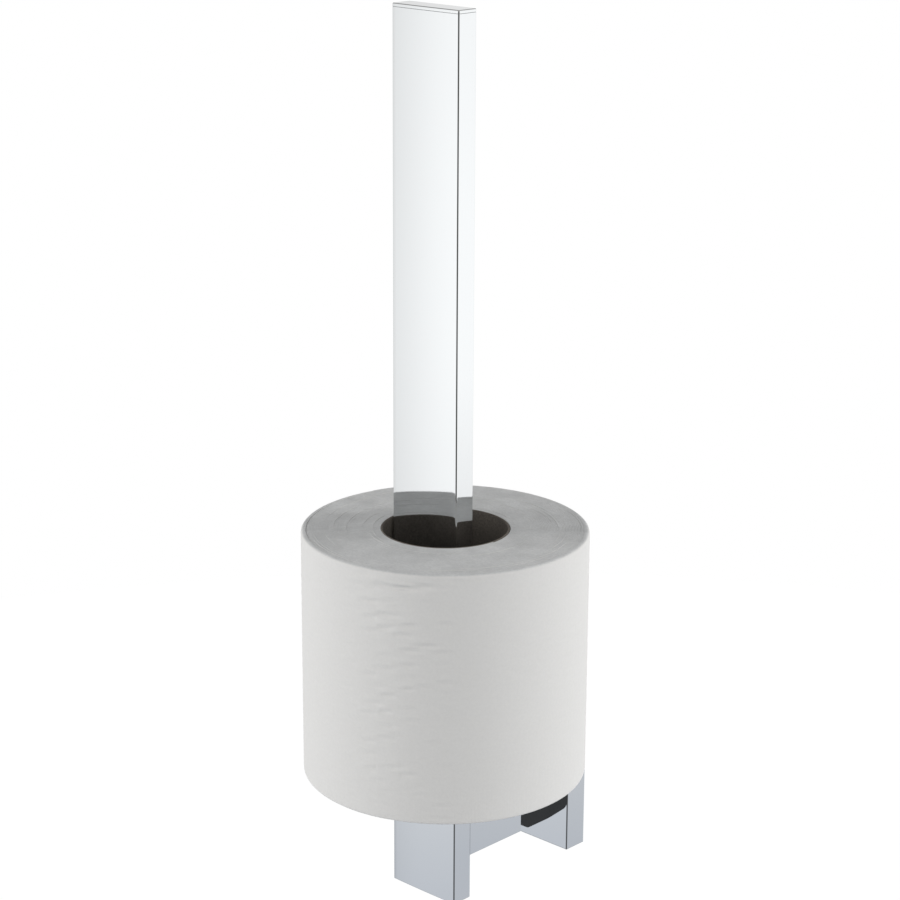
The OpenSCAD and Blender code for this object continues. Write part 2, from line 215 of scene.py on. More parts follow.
def makeFloor(s, shading):
    material, tree, shader = newMaterial("pale painted floor")
    spot = addNode(tree, "ShaderNodeTexCoord").outputs["Object"]
    mottle = addNode(tree, "ShaderNodeTexNoise", {"Vector": spot, "Scale": s["floorMottle"], "Detail": 3.0})
    colour = addNode(tree, "ShaderNodeMix",
                     {0: mottle.outputs["Fac"], 6: linear(s["floorLight"]), 7: linear(s["floorDark"])},
                     data_type="RGBA")
    setInputs(tree, shader, {"Base Color": colour.outputs[2], "Roughness": s["floorRoughness"]})
    white = addNode(tree, "ShaderNodeEmission", {"Color": (1, 1, 1, 1), "Strength": s["floorWhite"]})

    # painted reflection: for mirror rays the floor glows, brighter further off and darker towards the camera
    away = addNode(tree, "ShaderNodeVectorMath", {0: spot, 1: (1.0, 1.0, 0.0)}, operation="MULTIPLY")
    distance = addNode(tree, "ShaderNodeVectorMath", {0: away}, operation="LENGTH")
    far = addNode(tree, "ShaderNodeMapRange",
                  {"Value": distance.outputs["Value"], "From Min": s["nearRadius"],
                   "From Max": s["farRadius"]})
    tone = addNode(tree, "ShaderNodeMix",
                   {0: far, 6: linear(s["paintedReflectionNear"]), 7: linear(s["paintedReflectionFar"])}, data_type="RGBA")
    share = addNode(tree, "ShaderNodeGroup", {"Direction": spot, "Height": -1.0}, node_tree=shading)
    strength = addNode(tree, "ShaderNodeMath", {0: share, 1: s["paintedReflection"]}, operation="MULTIPLY")
    paintedReflection = addNode(tree, "ShaderNodeEmission", {"Color": tone.outputs[2], "Strength": strength})
    rays = addNode(tree, "ShaderNodeLightPath")
    # mirror rays see mostly the glow, a painted reflection
    soft = addNode(tree, "ShaderNodeMath", {0: rays.outputs["Is Glossy Ray"], 1: s["paintedReflectionShare"]},
                   operation="MULTIPLY")
    inChrome = addNode(tree, "ShaderNodeMixShader", {0: soft, 1: shader, 2: paintedReflection})
    direct = addNode(tree, "ShaderNodeMath", {0: rays.outputs["Is Camera Ray"], 1: s["floorShown"]},
                     operation="MULTIPLY")
    shown = addNode(tree, "ShaderNodeMixShader", {0: direct, 1: inChrome, 2: white})
    setInputs(tree, tree.nodes["Material Output"], {"Surface": shown})

    sides, radius = s["floorSides"], s["floorRadius"]
    angles = [2 * math.pi * i / sides for i in range(sides)]
    points = [(radius * math.cos(angle), radius * math.sin(angle), s["floorHeight"]) for angle in angles]
    mesh = bpy.data.meshes.new("floor")
    mesh.from_pydata(points, [], [tuple(range(sides))])
    mesh.materials.append(material)
    floor = bpy.data.objects.new("floor", mesh)
    bpy.context.scene.collection.objects.link(floor)


def makeLamps(s):
    target = Vector(s["target"])
    for turn in s["turns"]:
        data = bpy.data.lights.new("soft box", "AREA")
        data.shape = "RECTANGLE"
        data.size = s["width"]
        data.size_y = s["height"]
        data.energy = s["power"]
        lamp = bpy.data.objects.new("soft box", data)
        lamp.visible_glossy = False   # the surround alone is what the chrome mirrors
        level = Matrix.Rotation(math.radians(turn), 3, "Z") @ Vector(s["middle"])
        rise = math.radians(s["rise"])
        away = level * math.cos(rise) + Vector((0, 0, math.sin(rise)))
        lamp.matrix_world = (Matrix.Translation(target + away * s["distance"])
                             @ away.to_track_quat("Z", "Y").to_matrix().to_4x4())
        bpy.context.scene.collection.objects.link(lamp)


shading = sideShade(studioSet)
makeWorld(studioSet, shading)
makeFloor(studioSet, shading)
makeLamps(lampSet)
bpy.context.scene.view_settings.view_transform = "Standard"
print("camera and studio made")


# Materials. A pattern's scale is per metre, with the size that it gives in the note beside it; a spread is
# the part of a pattern's values that is stretched over the roughness

chromeSet = {
    "clean": "#CACCCD",
    "worn": "#B6B5B2",
    "smears": 45.0,          # 22 mm
    "spread": (0.35, 0.7),
    "roughness": (0.035, 0.065),
    "edgeFrom": 0.995,       # largest part of the normal at which an edge's wear starts
    "edgeFull": 0.85,
    "edgeRoughness": 0.09,
    "waves": 70.0,           # 14 mm
    "relief": 1.0,
    "reliefHeight": 0.004 * mm,
}

nylonSet = {
    "dark": "#0B0D0E",
    "light": "#131618",
    "flow": 90.0,            # 11 mm
    "spread": (0.3, 0.7),
    "roughness": (0.42, 0.54),
    "grain": 4000.0,         # 0.25 mm
    "relief": 0.35,
    "reliefHeight": 0.03 * mm,
    "shine": 0.25,
}

zincSet = {
    "bluish": "#B4BAC2",
    "yellowish": "#CBC9BE",
    "clouds": 160.0,         # 6 mm
    "lines": (2500.0, 2500.0, 60.0),    # 0.4 mm apart, along Z
    "spread": (0.3, 0.7),
    "roughness": (0.26, 0.42),
    "relief": 0.5,
    "reliefHeight": 0.01 * mm,
}

steelSet = {
    "dark": "#A9ABAD",
    "light": "#C6C7C8",
    "marks": 1400.0,         # 0.7 mm
    "spread": (0.3, 0.7),
    "roughness": (0.22, 0.36),
    "relief": 0.5,
    "reliefHeight": 0.01 * mm,
}

brassSet = {
    "dark": "#C9A45A",
    "light": "#DDBE7C",
    "lines": (120.0, 3000.0, 3000.0),   # 0.3 mm apart, along X
    "roughness": 0.3,
    "relief": 0.5,
    "reliefHeight": 0.01 * mm,
}

tissueSet = {
    "sideDark": "#DBDAD8",
    "sideLight": "#E6E5E3",
    # the ends' greys are darker than the sides': painted shade of the gaps between the layers
    "shadedEndsDark": "#C0C1C1",
    "shadedEndsLight": "#D6D7D7",
    "endShadeFrom": 0.55,         # upward part of the normal at which the painted shade of the ends starts
    "endShadeFull": 0.9,
    "fibres": 900.0,         # 1.1 mm
    "patches": 110.0,        # 9 mm
    "spread": (0.1, 0.4),    # of fibres times patches
    "crepe": (1600.0, 1600.0, 90.0),    # 0.6 mm apart, along Z
    "relief": 0.4,
    "reliefHeight": 0.08 * mm,
    "roughness": 0.95,
    "shine": 0.15,
    "sheen": 0.08,
}

cardboardSet = {
    "dark": "#6C6660",
    "light": "#7C756D",
    "fleck": "#5D5852",
    "fibres": 1300.0,        # 0.8 mm
    "patches": 120.0,        # 8 mm
    "spread": (0.35, 0.65),
    "relief": 0.4,
    "reliefHeight": 0.05 * mm,
    "roughness": 0.9,
    "shine": 0.2,
}


def surface(s, tree, shader, colour, gloss, height, values):
    # gloss is a pattern whose spread gives the roughness, or none where the roughness is even
    rough = s["roughness"]
    if gloss:
        rough = addNode(tree, "ShaderNodeMapRange",
                        {"Value": gloss, "From Min": s["spread"][0], "From Max": s["spread"][1],
                         "To Min": rough[0], "To Max": rough[1]})
    relief = addNode(tree, "ShaderNodeBump",
                     {"Height": height, "Strength": s["relief"], "Distance": s["reliefHeight"]})
    setInputs(tree, shader, {"Base Color": colour.outputs[2], "Roughness": rough, "Normal": relief,
                             **values})
    return rough


def chromePlate(s):
    # Bright chrome plating over polished metal: a clear mirror, duller and a little warmer where hands
    # rub the rounded edges, with the faint unevenness of a polished flat
    material, tree, shader = newMaterial("chrome plate, polished")
    spot = addNode(tree, "ShaderNodeTexCoord").outputs["Object"]
    facing = addNode(tree, "ShaderNodeTexCoord").outputs["Normal"]
    smears = addNode(tree, "ShaderNodeTexNoise", {"Vector": spot, "Scale": s["smears"], "Detail": 4.0})
    size = addNode(tree, "ShaderNodeVectorMath", {0: facing}, operation="ABSOLUTE")
    parts = addNode(tree, "ShaderNodeSeparateXYZ", {0: size})
    larger = addNode(tree, "ShaderNodeMath", {0: parts.outputs["X"], 1: parts.outputs["Y"]},
                     operation="MAXIMUM")
    largest = addNode(tree, "ShaderNodeMath", {0: larger, 1: parts.outputs["Z"]}, operation="MAXIMUM")
    edge = addNode(tree, "ShaderNodeMapRange",
                   {"Value": largest, "From Min": s["edgeFrom"], "From Max": s["edgeFull"]})
    wear = addNode(tree, "ShaderNodeMath", {0: edge, 1: smears.outputs["Fac"]}, operation="MULTIPLY")
    colour = addNode(tree, "ShaderNodeMix", {0: wear, 6: linear(s["clean"]), 7: linear(s["worn"])},
                     data_type="RGBA")
    waves = addNode(tree, "ShaderNodeTexNoise", {"Vector": spot, "Scale": s["waves"], "Detail": 1.0})
    rubbed = surface(s, tree, shader, colour, smears.outputs["Fac"], waves.outputs["Fac"], {"Metallic": 1.0})
    rough = addNode(tree, "ShaderNodeMath", {0: wear, 1: s["edgeRoughness"], 2: rubbed},
                    operation="MULTIPLY_ADD")
    setInputs(tree, shader, {"Roughness": rough})
    return material


def blackNylon(s):
    # Glass-filled nylon, injection moulded in a spark-eroded mould: satin black with a fine even grain
    material, tree, shader = newMaterial("black nylon, moulded")
    spot = addNode(tree, "ShaderNodeTexCoord").outputs["Object"]
    grain = addNode(tree, "ShaderNodeTexVoronoi", {"Vector": spot, "Scale": s["grain"]})
    flow = addNode(tree, "ShaderNodeTexNoise", {"Vector": spot, "Scale": s["flow"], "Detail": 5.0})
    colour = addNode(tree, "ShaderNodeMix",
                     {0: flow.outputs["Fac"], 6: linear(s["dark"]), 7: linear(s["light"])},
                     data_type="RGBA")
    surface(s, tree, shader, colour, flow.outputs["Fac"], grain.outputs["Distance"],
            {"Specular IOR Level": s["shine"]})
    return material


def zincPlate(s):
    # Bright zinc plating with a clear blue passivation on rolled steel: soft grey shine, faint cloudy
    # patches and the drawn lines of the rolled sheet
    material, tree, shader = newMaterial("zinc plated steel, passivated")
    spot = addNode(tree, "ShaderNodeTexCoord").outputs["Object"]
    clouds = addNode(tree, "ShaderNodeTexNoise", {"Vector": spot, "Scale": s["clouds"], "Detail": 4.0})
    stretched = addNode(tree, "ShaderNodeMapping", {"Vector": spot, "Scale": s["lines"]})
    lines = addNode(tree, "ShaderNodeTexNoise", {"Vector": stretched, "Scale": 1.0, "Detail": 2.0})
    colour = addNode(tree, "ShaderNodeMix",
                     {0: clouds.outputs["Fac"], 6: linear(s["bluish"]), 7: linear(s["yellowish"])},
                     data_type="RGBA")
    surface(s, tree, shader, colour, lines.outputs["Fac"], lines.outputs["Fac"], {"Metallic": 1.0})
    return material


def headedSteel(s):
    # Stainless screw steel, cold headed and rolled: soft grey shine with fine even marks
    material, tree, shader = newMaterial("stainless steel, cold headed")
    spot = addNode(tree, "ShaderNodeTexCoord").outputs["Object"]
    marks = addNode(tree, "ShaderNodeTexNoise", {"Vector": spot, "Scale": s["marks"], "Detail": 3.0})
    colour = addNode(tree, "ShaderNodeMix",
                     {0: marks.outputs["Fac"], 6: linear(s["dark"]), 7: linear(s["light"])},
                     data_type="RGBA")
    surface(s, tree, shader, colour, marks.outputs["Fac"], marks.outputs["Fac"], {"Metallic": 1.0})
    return material


def sawnBrass(s):
    # Free-cutting brass, sawn from flat bar: warm yellow with the saw's fine cross lines
    material, tree, shader = newMaterial("brass, sawn")
    spot = addNode(tree, "ShaderNodeTexCoord").outputs["Object"]
    stretched = addNode(tree, "ShaderNodeMapping", {"Vector": spot, "Scale": s["lines"]})
    lines = addNode(tree, "ShaderNodeTexNoise", {"Vector": stretched, "Scale": 1.0, "Detail": 2.0})
    colour = addNode(tree, "ShaderNodeMix",
                     {0: lines.outputs["Fac"], 6: linear(s["dark"]), 7: linear(s["light"])},
                     data_type="RGBA")
    surface(s, tree, shader, colour, None, lines.outputs["Fac"], {"Metallic": 1.0})
    return material


def tissuePaper(s):
    # Two-ply bleached tissue, creped and wound: matt and fibrous, with fine crepe lines up the roll, and a
    # darker grey on the faces that point up or down, where the cut edges show: painted shade of the gaps
    # between the layers
    material, tree, shader = newMaterial("tissue paper, creped")
    spot = addNode(tree, "ShaderNodeTexCoord").outputs["Object"]
    facing = addNode(tree, "ShaderNodeTexCoord").outputs["Normal"]
    upward = addNode(tree, "ShaderNodeSeparateXYZ", {0: facing}).outputs["Z"]
    flat = addNode(tree, "ShaderNodeMath", {0: upward}, operation="ABSOLUTE")
    # faces that point up or down, which take the painted shade of the ends
    endShadeMask = addNode(tree, "ShaderNodeMapRange",
                      {"Value": flat, "From Min": s["endShadeFrom"], "From Max": s["endShadeFull"]})
    fibres = addNode(tree, "ShaderNodeTexNoise",
                     {"Vector": spot, "Scale": s["fibres"], "Detail": 6.0, "Roughness": 0.65})
    patches = addNode(tree, "ShaderNodeTexNoise", {"Vector": spot, "Scale": s["patches"], "Detail": 2.0})
    mottled = addNode(tree, "ShaderNodeMath", {0: fibres.outputs["Fac"], 1: patches.outputs["Fac"]},
                      operation="MULTIPLY")
    mottle = addNode(tree, "ShaderNodeMapRange",
                     {"Value": mottled, "From Min": s["spread"][0], "From Max": s["spread"][1]})
    crepeSpot = addNode(tree, "ShaderNodeMapping", {"Vector": spot, "Scale": s["crepe"]})
    crepe = addNode(tree, "ShaderNodeTexNoise", {"Vector": crepeSpot, "Scale": 1.0, "Detail": 3.0})
    side = addNode(tree, "ShaderNodeMix",
                   {0: fibres.outputs["Fac"], 6: linear(s["sideDark"]), 7: linear(s["sideLight"])},
                   data_type="RGBA")
    # the ends' darker grey is painted shade
    shadedEnds = addNode(tree, "ShaderNodeMix",
                   {0: mottle, 6: linear(s["shadedEndsDark"]), 7: linear(s["shadedEndsLight"])}, data_type="RGBA")
    colour = addNode(tree, "ShaderNodeMix", {0: endShadeMask, 6: side.outputs[2], 7: shadedEnds.outputs[2]},
                     data_type="RGBA")
    height = addNode(tree, "ShaderNodeMath", {0: crepe.outputs["Fac"], 1: fibres.outputs["Fac"]},
                     operation="ADD")
    surface(s, tree, shader, colour, None, height,
            {"Specular IOR Level": s["shine"], "Sheen Weight": s["sheen"]})
    return material


def greyCardboard(s):
    # Recycled paperboard, wound in a spiral and glued: matt grey brown with dark and pale fibres
    material, tree, shader = newMaterial("grey cardboard, spiral wound")
    spot = addNode(tree, "ShaderNodeTexCoord").outputs["Object"]
    fibres = addNode(tree, "ShaderNodeTexNoise",
                     {"Vector": spot, "Scale": s["fibres"], "Detail": 6.0, "Roughness": 0.7})
    patches = addNode(tree, "ShaderNodeTexNoise", {"Vector": spot, "Scale": s["patches"], "Detail": 2.0})
    fleck = addNode(tree, "ShaderNodeMapRange",
                    {"Value": fibres.outputs["Fac"], "From Min": s["spread"][0], "From Max": s["spread"][1]})
    tone = addNode(tree, "ShaderNodeMix",
                   {0: patches.outputs["Fac"], 6: linear(s["dark"]), 7: linear(s["light"])},
                   data_type="RGBA")
    colour = addNode(tree, "ShaderNodeMix", {0: fleck, 6: tone.outputs[2], 7: linear(s["fleck"])},
                     data_type="RGBA")
    surface(s, tree, shader, colour, None, fibres.outputs["Fac"], {"Specular IOR Level": s["shine"]})
    return material


finishes = {
    "chrome_plate": chromePlate(chromeSet),
    "black_nylon": blackNylon(nylonSet),
    "screw_steel": headedSteel(steelSet),
    "zinc_plated_steel": zincPlate(zincSet),
    "brass": sawnBrass(brassSet),
    "tissue_paper": tissuePaper(tissueSet),
    "core_cardboard": greyCardboard(cardboardSet),
}
for part in frame["record"]["subparts"]:
    for holder in cadNodes[part["node"]].material_slots:
        holder.material = finishes[part["material_slot"]]
print("materials made and given to the CAD nodes")


# Meshes and node trees

def addPiece(name, mesh, slotName, body, *nodes):
    if not mesh.materials:
        mesh.materials.append(finishes[slotName])
    piece = bpy.data.objects.new(name, mesh)
    bpy.context.scene.collection.objects.link(piece)
    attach(piece, body)
    if nodes:
        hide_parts(*nodes)
    print("made", name, "with", len(mesh.polygons), "faces")


def gridMesh(name, points, closedRows):
    # points[row][column] in metres; the columns always close on themselves, the rows do where told, or else
    # the first and the last row get a face each
    rows, columns = points.shape[:2]
    row = np.arange(rows if closedRows else rows - 1)[:, None]
    column = np.arange(columns)[None, :]
    nextRow, nextColumn = (row + 1) % rows, (column + 1) % columns
    quads = np.stack([row * columns + column, row * columns + nextColumn,
                      nextRow * columns + nextColumn, nextRow * columns + column], -1).reshape(-1, 4)
    faces = quads.tolist()
    if not closedRows:
        faces.append(list(range(columns))[::-1])
        faces.append(list(range((rows - 1) * columns, rows * columns)))
    mesh = bpy.data.meshes.new(name)
    mesh.from_pydata(points.reshape(-1, 3).tolist(), [], faces)
    mesh.polygons.foreach_set("use_smooth", [True] * len(mesh.polygons))
    mesh.set_sharp_from_angle(angle=math.radians(35))
    mesh.update()
    return mesh


def roundPoints(s, angles, loops):
    # loops: a radius for each angle and the height above the foot, one after the other
    x, y = s["axis"]
    return np.array([np.stack([x + radius * np.cos(angles), y + radius * np.sin(angles),
                               np.full(len(angles), s["foot"] + height)], -1) for radius, height in loops])


def newTree(name, inputs):
    tree = bpy.data.node_groups.new(name, "GeometryNodeTree")
    kinds = {int: "NodeSocketInt", float: "NodeSocketFloat", tuple: "NodeSocketVector",
             str: "NodeSocketMaterial"}
    for label, value in inputs.items():
        tree.interface.new_socket(label, in_out="INPUT", socket_type=kinds[type(value)])
    tree.interface.new_socket("Geometry", in_out="OUTPUT", socket_type="NodeSocketGeometry")
    return tree, addNode(tree, "NodeGroupInput").outputs


def smoothTo(tree, geometry, degrees):
    # smooth shading that breaks at edges sharper than the angle
    angle = addNode(tree, "GeometryNodeInputMeshEdgeAngle").outputs["Unsigned Angle"]
    limit = addNode(tree, "ShaderNodeMath", {0: degrees}, operation="RADIANS")
    sharp = addNode(tree, "FunctionNodeCompare", {0: angle, 1: limit}, data_type="FLOAT",
                    operation="GREATER_THAN")
    smooth = addNode(tree, "GeometryNodeSetShadeSmooth", {"Geometry": geometry, "Shade Smooth": True})
    return addNode(tree, "GeometryNodeSetShadeSmooth",
                   {"Geometry": smooth, "Selection": sharp, "Shade Smooth": False}, domain="EDGE")


def endTree(tree, geometry, material):
    realized = addNode(tree, "GeometryNodeRealizeInstances", {0: geometry})
    finished = addNode(tree, "GeometryNodeSetMaterial", {"Geometry": realized, "Material": material})
    addNode(tree, "NodeGroupOutput", {0: finished})


def meshFromTree(name, tree, values):
    # the tree runs once on an empty object, and what it makes is kept as a plain mesh
    maker = bpy.data.objects.new(name + " maker", bpy.data.meshes.new(name))
    bpy.context.scene.collection.objects.link(maker)
    modifier = maker.modifiers.new("nodes", "NODES")
    modifier.node_group = tree
    for item in tree.interface.items_tree:
        if item.in_out == "INPUT":
            value = values[item.name]
            modifier[item.identifier] = finishes[value] if isinstance(value, str) else value
    evaluated = maker.evaluated_get(bpy.context.evaluated_depsgraph_get())
    mesh = bpy.data.meshes.new_from_object(evaluated)
    mesh.name = name
    bpy.data.objects.remove(maker)
    return mesh


# Toilet roll: a long strip wound on the core, and its last turns pressed together as one ring

rollLow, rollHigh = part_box("tissue_roll")
coreLow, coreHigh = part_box("cardboard_core")

rollSet = {
    "axis": ((rollLow[0] + rollHigh[0]) / 2, (rollLow[1] + rollHigh[1]) / 2),
    "foot": rollLow[2],
    "height": rollHigh[2] - rollLow[2],
    "radius": (rollHigh[0] - rollLow[0]) / 2,
    "ringWall": 2.4 * mm,
    "edgeRounding": 1.4 * mm,
    "roundSteps": 6,
    "columns": 264,
    "rows": 320,
    "insideGap": 0.05 * mm,    # the ring's inner wall is this much lower at each end
    "tailAngle": 165.5,        # degrees: where the sheet ends on the outside
    "tailStep": 0.32 * mm,
    "tailWidth": 0.0009,       # radians over which the step falls
    "seed": 11,
    "looseWaves": 14,
    "looseDepth": (0.004 * mm, 0.014 * mm),
    "looseTurns": (2, 9),
    "looseClimb": 40,          # radians per metre of height, either way
    "leastDent": 0.05 * mm,    # everywhere, so that the edges of creases stay inside the roll's radius
    "sheetLength": 122 * mm,   # from one row of perforations to the next
    "sheetsPerTurn": 3,
    "slitPitch": 3 * mm,
    "slitWidth": 0.3 * mm,
    "slitDepth": 0.05 * mm,
    "creaseColumns": 46,
    "creaseRows": 18,
    "creaseScatter": (1.6 * mm, 0.9 * mm),      # round the roll, and up it
    "creaseReach": (2.2 * mm, 4.6 * mm),        # half their length
    "creaseSlant": 0.03,
    "creaseFaintness": 1.3,    # above 1, more of them are faint
    "creaseWidth": 0.95 * mm,
    "creaseDepth": 0.75 * mm,
    "creaseZone": -62.0,       # degrees: where the sheet is creased most
    "creaseSpread": 19.0,
    "creaseElsewhere": 0.12,   # share of the depth outside the zone
    "creaseAtFoot": 0.4,       # share of the depth at the foot
    "rimLines": 7,             # longer lines close under the upper rim
    "rimLinePlace": (2 * mm, 12 * mm),          # from the zone's middle, and how scattered
    "rimLineDrop": (2 * mm, 6.5 * mm),
    "rimLineReach": (6 * mm, 13 * mm),
    "rimLineDepth": (0.3, 0.55),                # of a full crease
}

coreSet = {
    "axis": rollSet["axis"],
    "foot": rollSet["foot"],
    "height": rollSet["height"],
    "radius": (coreHigh[0] - coreLow[0]) / 2,
    "wall": 0.8 * mm,
    "ease": 0.25 * mm,
    "endGap": 0.3 * mm,
    "columns": 144,
    "rows": 90,
    "lead": 96 * mm,           # height of one turn of the inner ply's joint
    "grooveDepth": 0.16 * mm,
    "grooveWidth": 0.7 * mm,
}

windingSet = {
    "startRadius": coreSet["radius"] + 0.1 * mm,
    "endRadius": rollSet["radius"] - rollSet["ringWall"] - 0.1 * mm,
    "turns": 50.0,             # a real roll has about 90; fewer show better
    "pointsPerTurn": 160,
    "thickness": 0.54 * mm,
    "height": rollSet["height"] - 0.3 * mm,
    "unevenness": 0.045 * mm,
    "waveLength": 45 * mm,
    "raised": 0.12 * mm,       # turns that stand out a little here and there
    "raisedLength": 60 * mm,
    "raisedFrom": 0.66,        # of the slow pattern's values
    "raisedFull": 0.82,
    "smoothAngle": 40.0,
    "centre": (*rollSet["axis"], rollSet["foot"] + rollSet["height"] / 2),
    "material": "tissue_paper",
}


def windingTree(s):
    tree, given = newTree("wound tissue", s)
    spiral = addNode(tree, "GeometryNodeCurveSpiral",
                     {"Resolution": given["pointsPerTurn"], "Rotations": given["turns"],
                      "Start Radius": given["startRadius"], "End Radius": given["endRadius"], "Height": 0.0})
    upright = addNode(tree, "GeometryNodeSetCurveNormal", {"Curve": spiral}, mode="Z_UP")
    along = addNode(tree, "GeometryNodeSplineParameter").outputs["Length"]
    marked = addNode(tree, "GeometryNodeStoreNamedAttribute",
                     {"Geometry": upright, "Name": "along", "Value": along},
                     data_type="FLOAT", domain="POINT")
    section = addNode(tree, "GeometryNodeCurvePrimitiveQuadrilateral",
                      {"Width": given["thickness"], "Height": given["height"]})
    strip = addNode(tree, "GeometryNodeCurveToMesh",
                    {"Curve": marked, "Profile Curve": section, "Fill Caps": True})
    kept = addNode(tree, "GeometryNodeInputNamedAttribute", {"Name": "along"}, data_type="FLOAT")
    step = addNode(tree, "ShaderNodeMath", {0: kept, 1: given["waveLength"]}, operation="DIVIDE")
    waves = addNode(tree, "ShaderNodeTexNoise", {"W": step, "Scale": 1.0, "Detail": 2.0},
                    noise_dimensions="1D")
    centred = addNode(tree, "ShaderNodeMath", {0: waves.outputs["Fac"], 1: 0.5}, operation="SUBTRACT")
    ripple = addNode(tree, "ShaderNodeMath", {0: centred, 1: given["unevenness"]}, operation="MULTIPLY")
    stretch = addNode(tree, "ShaderNodeMath", {0: kept, 1: given["raisedLength"]}, operation="DIVIDE")
    slow = addNode(tree, "ShaderNodeTexNoise", {"W": stretch, "Scale": 1.0, "Detail": 0.0},
                   noise_dimensions="1D")
    peak = addNode(tree, "ShaderNodeMapRange",
                   {"Value": slow.outputs["Fac"], "From Min": given["raisedFrom"],
                    "From Max": given["raisedFull"]}, interpolation_type="SMOOTHSTEP")
    rise = addNode(tree, "ShaderNodeMath", {0: peak, 1: given["raised"], 2: ripple},
                   operation="MULTIPLY_ADD")
    lift = addNode(tree, "ShaderNodeCombineXYZ", {"Z": rise})
    uneven = addNode(tree, "GeometryNodeSetPosition", {"Geometry": strip, "Offset": lift})
    placed = addNode(tree, "GeometryNodeTransform", {"Geometry": uneven, "Translation": given["centre"]})
    endTree(tree, smoothTo(tree, placed, given["smoothAngle"]), given["material"])
    return tree


def creaseDents(s, rng, arc, heights, zoneMiddle):
    # short level creases in staggered columns, and longer ones under the rim; 1 is a full crease
    turnLength = 2 * math.pi * s["radius"]
    width = s["creaseWidth"]
    up = heights[:, None]
    dents = np.zeros((len(heights), len(arc)))

    def addCrease(middle, level, halfLength, depth, slant=0.0):
        low, high = np.searchsorted(heights, (level - 3 * width, level + 5 * width))
        off = (arc - middle + turnLength / 2) % turnLength - turnLength / 2
        above = up[low:high] - level - slant * off
        shape = np.exp(-(above / width) ** 2) - 0.5 * np.exp(-((above - 2 * width) / width) ** 2)
        dents[low:high] += depth * shape * np.exp(-(off / halfLength) ** 4)

    pitchAround, pitchUp = turnLength / s["creaseColumns"], s["height"] / s["creaseRows"]
    scatterAround, scatterUp = s["creaseScatter"]
    for column in range(s["creaseColumns"]):
        for row in range(s["creaseRows"]):
            addCrease(column * pitchAround + rng.normal(0, scatterAround),
                      (row + 0.5 * (column % 2)) * pitchUp + rng.normal(0, scatterUp),
                      rng.uniform(*s["creaseReach"]), rng.uniform(0.0, 1.0) ** s["creaseFaintness"],
                      rng.normal(0, s["creaseSlant"]))
    for _ in range(s["rimLines"]):
        addCrease(zoneMiddle + rng.normal(*s["rimLinePlace"]), s["height"] - rng.uniform(*s["rimLineDrop"]),
                  rng.uniform(*s["rimLineReach"]), rng.uniform(*s["rimLineDepth"]))
    return dents


def outerRing(s):
    rng = np.random.default_rng(s["seed"])
    height, rounding, outer = s["height"], s["edgeRounding"], s["radius"]
    tail, fullTurn = math.radians(s["tailAngle"]), 2 * math.pi
    sheets = [k * s["sheetLength"] / outer for k in range(1, s["sheetsPerTurn"])]

    # even columns, more of them at the perforations, and one just past the sheet's end, which is a step
    turned = np.linspace(0, fullTurn, s["columns"], endpoint=False)
    near = [angle + off * mm / outer for angle in sheets for off in (-0.5, -0.25, 0.0, 0.25, 0.5)]
    turned = np.sort(np.concatenate([turned, near, [s["tailWidth"]]]))
    heights = np.linspace(rounding, height - rounding, s["rows"])
    around, up = np.meshgrid(turned, heights)
    radius = outer - s["tailStep"] * (1 - around / fullTurn)
    radius[:, 0] = outer

    # wide shallow waves, as the paper isn't quite evenly tight
    dent = np.zeros_like(radius)
    for _ in range(s["looseWaves"]):
        turns, phase = rng.integers(*s["looseTurns"]), rng.uniform(0, fullTurn)
        climb = rng.uniform(-s["looseClimb"], s["looseClimb"])
        dent += rng.uniform(*s["looseDepth"]) * (1 + np.sin(turns * around + phase + climb * up))

    # creases, deeper in one zone and towards the top
    zoneMiddle = math.radians(s["creaseZone"])
    zone = (np.degrees(turned + tail - zoneMiddle) + 180) % 360 - 180
    elsewhere, atFoot = s["creaseElsewhere"], s["creaseAtFoot"]
    zoneShare = elsewhere + (1 - elsewhere) * np.exp(-(zone / s["creaseSpread"]) ** 4)
    highShare = atFoot + (1 - atFoot) * (heights / height) ** 1.2
    creases = creaseDents(s, rng, turned * outer, heights, (zoneMiddle - tail) % fullTurn * outer)
    dent += s["creaseDepth"] * creases * zoneShare * highShare[:, None]

    # perforations: a row of short slits up the sheet
    slit = np.clip(1.4 * np.sin(fullTurn * up / s["slitPitch"]) + 0.6, 0, 1)
    for angle in sheets:
        dent += s["slitDepth"] * slit * np.exp(-((around - angle) * outer / s["slitWidth"]) ** 2)
    radius -= np.maximum(dent + s["leastDent"], 0)

    # up the side, over the rounded top, down the inside and round the foot
    bend = np.linspace(0, math.pi / 2, s["roundSteps"] + 1)[1:]
    inner = np.full(len(turned), outer - s["ringWall"])
    loops = list(zip(radius, heights))
    turnIn, drop = rounding * (1 - np.cos(bend)), rounding * (1 - np.sin(bend))
    loops += [(radius[-1] - t, height - d) for t, d in zip(turnIn, drop)]
    loops += [(inner, height - s["insideGap"]), (inner, s["insideGap"])]
    loops += [(radius[0] - t, d) for t, d in zip(turnIn[::-1], drop[::-1])]
    return gridMesh("outer turns", roundPoints(s, turned + tail, loops), True)


